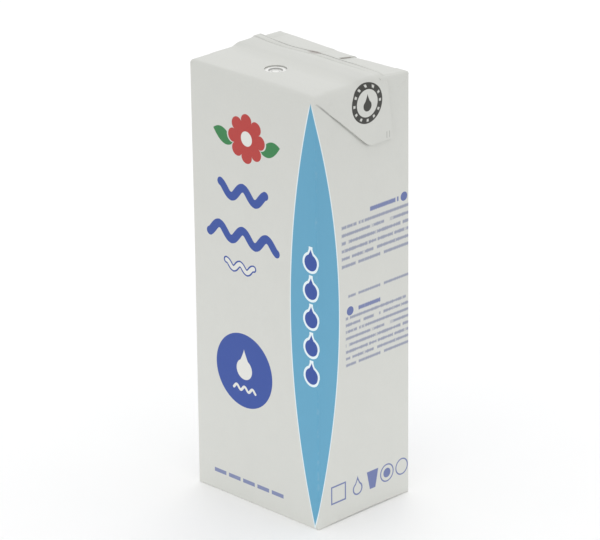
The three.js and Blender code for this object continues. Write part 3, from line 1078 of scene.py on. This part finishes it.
class Finish(Graph):
    """A material's graph, with its shader, its place in millimetres and the colour painted so far."""

    def __init__(self, name, ground):
        self.material = bpy.data.materials.new(name)
        self.material.use_nodes = True
        super().__init__(self.material.node_tree)
        self.shader = self.tree.nodes["Principled BSDF"]
        metres = self.node("ShaderNodeTexCoord").outputs["Object"]
        scale = self.node("ShaderNodeVectorMath", {0: metres, 1: (1 / MM,) * 3}, operation="MULTIPLY")
        self.position = scale.outputs[0]
        self.tint = rgba(ground)

    def stain(self, mask, ink, share=1):
        """Lays a colour over the tint by a share of a mask."""
        if share != 1:
            mask = self.mul(mask, share)
        self.tint = self.blend(mask, self.tint, rgba(ink))

    def paint(self, depth, ink, share=1, soft=0.06):
        """Lays a colour over the tint where a depth in millimetres is above zero."""
        self.stain(self.inside(depth, soft), ink, share)

    def drop(self, x, y, radius, tip):
        """Depth inside a drop."""
        return self.group(drop_group(), {"X": x, "Y": y, "Radius": radius, "Tip": tip})["Depth"]

    def wave(self, x, y, wave):
        """Depth inside a waving stroke."""
        return self.group(wave_group(), {
            "X": self.sub(x, wave.middle), "Y": self.sub(y, wave.height), "Half length": wave.reach,
            "Swing": wave.swing, "Pitch": wave.pitch, "Half width": wave.stroke})["Depth"]

    def bars(self, x, y, bars):
        """Depth inside a block of bars."""
        rows = self.group(bars_group(), {"X": self.add(x, bars.shift), "Y": self.sub(y, bars.low),
                                         "Pitch": bars.pitch, "Weight": bars.weight})["Depth"]
        return self.least(rows, self.band(y, bars.low, bars.high), self.band(x, bars.near, bars.far))

    def coat(self, tone=0.03, relief=1, rub=0.5, gloss=0):
        """Puts the board's grain with its painted light and shade, rubbed edges, relief and satin over the
        tint.
        """
        rub_share, rub_dull, bump_strength, sheen = 0.16, 0.2, 0.35, 0.35
        grain = self.group(grain_and_shade_group(), {"Position": self.position, "Tone": tone, "Relief": relief})
        rubbed = self.group(rub_group(), {"Position": self.position, "Reach": rub})["Mask"]
        self.stain(rubbed, shaded(colours().board, 1.12), rub_share)
        shade = self.node("ShaderNodeVectorMath", {0: self.tint, "Scale": grain["Shade"]},
                          operation="SCALE")
        self.put(self.shader.inputs["Base Color"], shade.outputs[0])
        roughness = self.add(grain["Gloss"], self.line(rubbed, rub_dull, gloss))
        self.put(self.shader.inputs["Roughness"], roughness)
        bump = self.node("ShaderNodeBump", {"Height": grain["Height"], "Strength": bump_strength,
                                            "Distance": MM})
        self.put(self.shader.inputs["Normal"], bump.outputs[0])
        self.shader.inputs["Specular IOR Level"].default_value = sheen
        return self.material


@made_once("materials", "Coated board")
def plain_board(name):
    """Unprinted coated board."""
    board = colours().board
    g = Finish(name, board)
    g.stain(g.noise(g.position, 0.3, 2), shaded(board, 0.96), 0.3)
    return g.coat()


@made_once("materials", "Cut board edge")
def cut_edge(name):
    """Bare fibre of a cut edge."""
    fibre = colours().fibre
    g = Finish(name, fibre)
    g.stain(g.noise(g.position, 2.2, 3), shaded(fibre, 0.7))
    return g.coat(tone=0.12, relief=2, rub=0.2)


@made_once("materials", "Straw hole film")
def hole_film(name):
    """Glossy film with painted shade in two rings over its pressed dish and dome."""
    m, c = in_mm(sizes()), colours()
    g = Finish(name, c.film)
    g.stain(g.noise(g.position, 1.4, 3), shaded(c.film, 0.9))
    x, y, _ = g.split(g.position)
    x, y = g.sub(x, m.hole_x), g.sub(y, m.hole_y)
    # Painted shade in two rings on the walls of the film's dish and dome.
    for radius, half, share in ((1.86, 0.15, 0.6), (1.05, 0.1, 0.4)):
        g.paint(g.sub(half, g.absolute(g.disc(x, y, radius))), c.mark, share, soft=0.2)
    return g.coat(tone=0.04, relief=1.6, rub=0.2, gloss=-0.14)


@made_once("materials", "Ear board")
def ear_board(name):
    """Coated board of the outer ply, with the round mark, painted shade on the fin's lines and seal band,
    and the straw hole's shade.
    """
    m, c = in_mm(sizes()), colours()
    g = Finish(name, c.board)
    x, y, z = g.split(g.position)
    ear_mark(g, x, y, z, m, c)
    fin_lines(g, x, y, g.inside(g.sub(z, m.height - 1.2)), m, c)

    # Shade on the wall of the straw hole.
    wall_half, below, soft = 0.25, 0.06, 0.1
    from_wall = g.absolute(g.disc(g.sub(x, m.hole_x), g.sub(y, m.hole_y), m.hole))
    wall = g.mul(g.inside(g.sub(wall_half, from_wall), soft), g.inside(g.sub(m.height - below, z), soft))
    g.stain(wall, c.mark, 0.35)

    # Two short pressed strokes at the cut end of the ears.
    strokes = g.strip(g.absolute(g.sub(y, 8.8)), 0.5, 0.14)
    g.paint(g.least(strokes, g.band(z, 107.2, 109)), c.mark, 0.35, soft=0.3)
    return g.coat()


def ear_mark(g, x, y, z, m, c):
    """Beaded ring round a drop on the right ear, laid on the board as it goes over the soft fold."""
    p = in_mm(bpy.context.scene.carton_print)
    bead_count, bead_gap, bead_half, bead_soft = 12, 0.6, 0.36, 0.3
    drop_radius, drop_tip, drop_sunk = 1.5, 3.4, 0.7
    bend = m.height - m.soft_fold
    fold_x = m.width / 2 + ply_stand(m) - m.soft_fold
    turn = g.calc("ARCTAN2", g.most(g.sub(z, bend), 0), g.most(g.sub(x, fold_x), 0.01))
    unrolled = g.add(g.least(z, bend), g.mul(turn, m.soft_fold))
    across, up = g.sub(y, p.mark_y), g.sub(unrolled, m.height - p.mark_drop)
    ring = g.least(g.disc(across, up, p.mark_outer), g.sub(0, g.disc(across, up, p.mark_inner)))
    around = g.calc("COSINE", g.mul(g.calc("ARCTAN2", up, across), bead_count))
    from_middle = g.absolute(g.disc(across, up, (p.mark_outer + p.mark_inner) / 2))
    beads = g.least(g.sub(around, bead_gap), g.sub(bead_half, from_middle))
    drop = g.drop(across, g.add(up, drop_sunk), drop_radius, drop_tip)
    ink = g.most(g.inside(ring), g.inside(drop))
    ink = g.mul(ink, g.calc("SUBTRACT", 1, g.inside(beads, bead_soft), clamp=True))
    g.stain(g.mul(ink, g.calc("GREATER_THAN", x, fold_x)), c.mark)


def fin_lines(g, x, y, flat, m, c):
    """Painted shade along the fin's free edge and crimp and over its pressed seal band, and the soiled
    knot on the edge.
    """
    edge_back, edge_half, crimp_half, soft = 0.6, 0.1, 0.06, 0.25
    edge_share, crimp_share = 0.34, 0.14
    left = g.mul(x, -1)
    bowed = g.mul(g.ramp(left, 2, 12), g.sub(1, g.ramp(left, 16, 24)))
    behind = g.line(bowed, m.fin_bow, y)
    # Painted shade: thin dark lines along the free edge and the crimp, fading to the right.
    edge = g.inside(g.strip(behind, m.fin_edge - edge_back, edge_half), soft)
    crimp = g.inside(g.strip(behind, m.fin_edge - m.fin_crimp, crimp_half), soft)
    fade = g.line(x, -0.07, 1.35, clamp=True)
    lines = g.add(g.mul(edge, edge_share), g.mul(crimp, crimp_share))
    g.stain(g.mul(g.mul(flat, fade), lines), c.mark)
    # Painted shade over the pressed seal band of the fin.
    g.stain(g.mul(g.inside(g.band(y, -0.9, 4.6), 2), flat), c.mark, 0.055)
    for knot_x, narrow, back, radius, blur, share in ((-2.6, 0.16, 0.3, 0.75, 0.7, 0.1),
                                                      (-2.1, 0.5, 0.8, 0.95, 0.6, 0.38)):
        knot = g.disc(g.mul(g.sub(x, knot_x), narrow), g.sub(y, m.fin_edge - back), radius)
        g.stain(g.mul(flat, g.inside(knot, blur)), c.fibre, share)


@made_once("materials", "Printed board")
def print_board(name):
    """Coated board with its print, laid out from the front right edge and again from the back left one."""
    m, c = in_mm(sizes()), colours()
    p = in_mm(bpy.context.scene.carton_print)
    g = Finish(name, c.board)
    x, y, up = g.split(g.position)
    half = g.calc("SIGN", g.sub(g.mul(x, 1 / m.width), g.mul(y, 1 / m.depth)))
    run = g.sub(g.mul(half, g.add(x, y)), (m.width - m.depth) / 2)
    across = g.add(run, m.width / 2)
    lens_print(g, run, up, p, c)
    flower_print(g, g.sub(across, p.flower_x), g.sub(up, p.flower_z), p, c)
    wave_print(g, across, up, c)
    disc_print(g, across, up, p, c)
    small_print(g, run, up, m, c)
    g.paint(plain_signs(g, run, g.sub(up, p.sign_z)), c.blue, 0.8, soft=0.1)
    ear_crease_shade(g, x, y, up, m, c)

    # Painted shadow in the gap beside the lap's cut edge.
    gap_shift, gap_half, gap_soft, reach_down = 0.1, 0.13, 0.12, 4
    gap = g.least(g.strip(x, m.lap_edge + gap_shift, gap_half), g.band(y, 10.6, 15))
    g.stain(g.mul(g.inside(gap, gap_soft), g.inside(g.sub(up, m.height - reach_down))), c.fibre, 0.42)
    return g.coat()


def lens_print(g, run, up, p, c):
    """Pale lens round the edge, with a thin pale rim and a column of drops."""
    tilt, rim_end, rim_fade, foot = 0.2, 0.7, 1.5, 3.3
    reach = g.mul(g.sub(up, (p.lens_low + p.lens_high) / 2), 2 / (p.lens_high - p.lens_low))
    swell = g.sub(1, g.mul(reach, reach))
    centred = g.add(run, g.line(reach, tilt, p.lens_shift))
    lens = g.least(g.add(centred, g.mul(swell, p.lens_front)), g.sub(g.mul(swell, p.lens_side), centred))
    rim = g.mul(g.inside(g.add(lens, p.lens_rim)), g.inside(g.sub(p.lens_high - rim_end, up), rim_fade))
    g.stain(rim, c.rim, 0.85)
    g.paint(lens, c.lens)
    step = g.calc("FRACT", g.mul(g.sub(up, p.drop_low), 1 / p.drop_pitch))
    place = g.sub(g.mul(step, p.drop_pitch), foot)
    drops = g.drop(g.add(run, p.drop_shift), place, p.drop_radius, p.drop_tip)
    rows = g.band(up, p.drop_low, p.drop_low + p.drop_count * p.drop_pitch)
    g.paint(g.least(g.add(drops, p.drop_rim), rows), c.rim)
    g.paint(g.least(drops, rows), c.blue)


def flower_print(g, x, y, p, c):
    """Flower with two leaves, round the origin of x and y."""
    petals, border, pale = 8, 0.5, 1.15
    leaf_curve, leaf_slant, leaf_sunk = 0.15, 0.35, 1
    radius = g.distance(x, y)
    lobes = g.calc("COSINE", g.mul(g.calc("ARCTAN2", y, x), petals / 2))
    flower = g.line(g.calc("SQRT", g.absolute(lobes)), p.flower_petal, p.flower_hollow)
    flower = g.sub(flower, radius)
    leaf_x = g.sub(g.absolute(x), p.leaf_x)
    leaf_y = g.add(y, g.line(leaf_x, -leaf_slant, leaf_sunk))
    leaf = g.sub(g.line(g.mul(leaf_x, leaf_x), -leaf_curve, p.leaf_half), g.absolute(leaf_y))
    g.paint(leaf, c.green)
    g.paint(g.add(flower, border), c.board)
    g.paint(flower, c.red)
    g.paint(g.sub(p.flower_heart, radius), shaded(c.board, pale))


def wave_print(g, across, up, c):
    """Two waves and a pale one with a blue border."""
    border, pale = 0.45, 1.15
    for wave in WAVES:
        g.paint(g.wave(across, up, wave), c.blue)
    stroke = g.wave(across, up, PALE_WAVE)
    g.paint(stroke, c.blue)
    g.paint(g.sub(stroke, border), shaded(c.board, pale))


def disc_print(g, across, up, p, c):
    """Plain disc with a drop over a ripple, and a line of dashes below."""
    pale, drop_lift, drop_radius, drop_tip = 1.15, 0.4, 3, 6
    x, y = g.sub(across, p.disc_x), g.sub(up, p.disc_z)
    g.paint(g.disc(x, y, p.disc), c.blue)
    drop = g.drop(x, g.sub(y, drop_lift), drop_radius, drop_tip)
    g.paint(g.most(drop, g.wave(x, y, RIPPLE)), shaded(c.board, pale))
    dash_half, dash_fill, dash_scale = 0.6, 0.41, 5.6
    step = g.calc("FRACT", g.mul(g.sub(across, p.dash_left), 1 / p.dash_pitch))
    dash = g.mul(g.strip(step, 0.5, dash_fill), dash_scale)
    row = g.least(g.strip(up, p.dash_z, dash_half), g.band(across, p.dash_left, p.dash_right))
    g.paint(g.least(row, dash), c.blue, 0.7)


def small_print(g, run, up, m, c):
    """Bars that stand for small print, with their headings and dots."""
    past, dot = m.depth + 4, 1.3
    small = (Bars(73.2, 86.6, 9.6, past, 2.24, 0.42, 0), Bars(44.4, 60.0, 11.0, past, 1.95, 0.38, 0),
             Bars(64.2, 66.4, 12.0, past, 2.2, 0.36, 0))
    headings = (Bars(87.0, 89.4, 20.5, 31.6, 2.4, 0.62, 9), Bars(59.9, 62.1, 15.0, 24.5, 2.2, 0.56, 0))
    g.paint(g.most(*[g.bars(run, up, bars) for bars in small]), c.small, 0.7, soft=0.35)
    g.paint(g.most(*[g.bars(run, up, bars) for bars in headings]), c.blue, 0.75, soft=0.3)
    dots = [g.disc(g.sub(run, back), g.sub(up, high), dot) for back, high in ((33.7, 88.3), (12.7, 61.0))]
    g.paint(g.most(*dots), c.blue, 0.85)


def plain_signs(g, run, y):
    """Depth inside a row of plain signs: a frame, a drop, a cup, a ringed disc and a ring."""
    stroke, ring_stroke = 0.45, 0.4

    def outline(depth, width):
        return g.least(depth, g.sub(width, depth))

    square = g.least(g.strip(run, 7.8, 2.9), g.sub(2.7, g.absolute(y)))
    drop = g.drop(g.sub(run, 15.3), g.add(y, 1), 1.9, 3.9)
    cup_side = g.sub(g.line(y, 0.22, 1.7), g.absolute(g.sub(run, 21.2)))
    cup = g.least(cup_side, g.band(y, -2.8, 2.6))
    target = g.disc(g.sub(run, 26.9), y, 2.7)
    ring = g.disc(g.sub(run, 32.8), y, 2.5)
    return g.most(outline(square, stroke), outline(drop, stroke), cup, outline(target, ring_stroke),
                  g.sub(target, 1.3), outline(ring, ring_stroke))


def ear_crease_shade(g, x, y, up, m, c):
    """Painted shade in the crease under the ears, fading towards their tips."""
    line_half, line_below, line_soft, side_reach = 0.2, 0.12, 0.35, 0.6
    run_back = m.ear_tip + m.depth / 2
    slope = (m.ear_drop - m.ear_gap) / run_back
    over = g.add(g.line(y, slope, slope * m.depth / 2), g.sub(up, m.height - m.ear_gap))
    sunk = g.line(y, -m.shoulder / run_back, m.shoulder * m.ear_tip / run_back)
    over = g.add(over, g.mul(sunk, g.calc("GREATER_THAN", x, 0)))
    above = g.calc("SMOOTH_MIN", g.mul(over, math.cos(math.atan(slope))),
                   g.sub(up, m.height - m.ear_drop), m.ear_round)
    # Painted shade: a thin dark line just below the ears' edges, stronger at the front and fading towards
    # the tips.
    crease = g.mul(g.inside(g.strip(above, -line_below, line_half), line_soft),
                   g.inside(g.band(y, -16.6, 7.5), 3))
    crease = g.mul(crease, g.inside(g.sub(g.absolute(x), m.width / 2 - side_reach)))
    g.stain(g.mul(crease, g.line(y, -0.022, 0.24)), c.mark)


@made_once("materials", "Pale floor")
def pale_floor(name):
    """Plain pale floor with a faint change of tone and gloss."""
    floor = colours().floor
    g = Finish(name, floor)
    cloud = g.noise(g.position, 0.01, 2)
    g.stain(cloud, shaded(floor, 0.985))
    g.put(g.shader.inputs["Base Color"], g.tint)
    g.put(g.shader.inputs["Roughness"], g.line(cloud, 0.2, 0.6))
    return g.material


class CARTON_OT_stage(bpy.types.Operator):
    """Set the pale floor, the soft studio lights and the camera"""

    bl_idname = "carton.stage"
    bl_label = "Stage"

    def execute(self, context):
        scene = context.scene
        settings = scene.carton_stage
        scene.view_settings.view_transform = "Standard"
        clear_selection()
        bpy.ops.mesh.primitive_grid_add(x_subdivisions=4, y_subdivisions=4, size=8)
        floor = context.object
        floor.name = "floor"
        floor.data.materials.append(pale_floor())
        world = bpy.data.worlds.new("Studio")
        world.use_nodes = True
        backdrop = world.node_tree.nodes["Background"]
        backdrop.inputs["Color"].default_value = (1, 1, 1, 1)
        backdrop.inputs["Strength"].default_value = settings.sky
        scene.world = world
        self.soft_light("Back softbox", BACK_SOFTBOX, settings.back_light)
        self.soft_light("Front softbox", FRONT_SOFTBOX, settings.front_light)
        self.aim_camera(scene, settings)
        return {"FINISHED"}

    @staticmethod
    def soft_light(name, softbox, power):
        """A square softbox that faces its target."""
        place, target, size = softbox
        clear_selection()
        bpy.ops.object.light_add(type="AREA", location=place)
        light = bpy.context.object
        light.name = name
        light.data.size = size
        light.data.energy = power
        light.rotation_euler = (Vector(target) - Vector(place)).to_track_quat("-Z", "Y").to_euler()

    @staticmethod
    def aim_camera(scene, settings):
        """The camera, turned, raised and rolled round the middle of the carton."""
        clear_selection()
        bpy.ops.object.camera_add()
        camera = bpy.context.object
        turn, lift, roll = settings.azimuth, settings.elevation, settings.roll
        back = Vector((math.sin(turn) * math.cos(lift), -math.cos(turn) * math.cos(lift), math.sin(lift)))
        level = Vector((0, 0, 1)).cross(back).normalized()
        upright = back.cross(level)
        right = level * math.cos(roll) + upright * math.sin(roll)
        upward = upright * math.cos(roll) - level * math.sin(roll)
        middle = Vector((0, 0, scene.carton_sizes.height / 2))
        pose = Matrix((right, upward, back)).transposed().to_4x4()
        moved = middle + right * settings.right + upward * settings.upward
        pose.translation = moved + back * settings.distance
        camera.matrix_world = pose
        camera.data.lens = settings.lens
        camera.data.sensor_width = 36
        camera.data.clip_end = 50
        scene.camera = camera


OPERATORS = (
    CARTON_OT_brick,
    CARTON_OT_outer_ply,
    CARTON_OT_tucked_ears,
    CARTON_OT_lap_seam,
    CARTON_OT_straw_film,
    CARTON_OT_base_folds,
    CARTON_OT_stage,
)

GROUPS = {
    "carton_sizes": CartonSizes,
    "carton_print": CartonPrint,
    "carton_colours": CartonColours,
    "carton_stage": StageSettings,
}


class CARTON_PT_panel(bpy.types.Panel):
    """Lists the carton's pieces and its sizes, print, colours and stage"""

    bl_idname = "CARTON_PT_panel"
    bl_label = "Milk Carton"
    bl_space_type = "VIEW_3D"
    bl_region_type = "UI"
    bl_category = "Carton"

    def draw(self, context):
        for operator in OPERATORS:
            self.layout.operator(operator.bl_idname)
        for name in GROUPS:
            group = getattr(context.scene, name)
            box = self.layout.box()
            for key in group.__annotations__:
                box.prop(group, key)


CLASSES = tuple(GROUPS.values()) + OPERATORS + (CARTON_PT_panel,)


def register():
    """Registers the classes and ties the groups of settings to the scene."""
    for item in CLASSES:
        bpy.utils.register_class(item)
    for name, group in GROUPS.items():
        setattr(bpy.types.Scene, name, PointerProperty(type=group))


def unregister():
    """Takes back what register did."""
    for name in GROUPS:
        delattr(bpy.types.Scene, name)
    for item in reversed(CLASSES):
        bpy.utils.unregister_class(item)


def main():
    """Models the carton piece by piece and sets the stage."""
    register()
    bpy.ops.carton.brick()
    bpy.ops.carton.outer_ply()
    bpy.ops.carton.tucked_ears()
    bpy.ops.carton.lap_seam()
    bpy.ops.carton.straw_film()
    bpy.ops.carton.base_folds()
    bpy.ops.carton.stage()


if __name__ == "__main__":
    main()
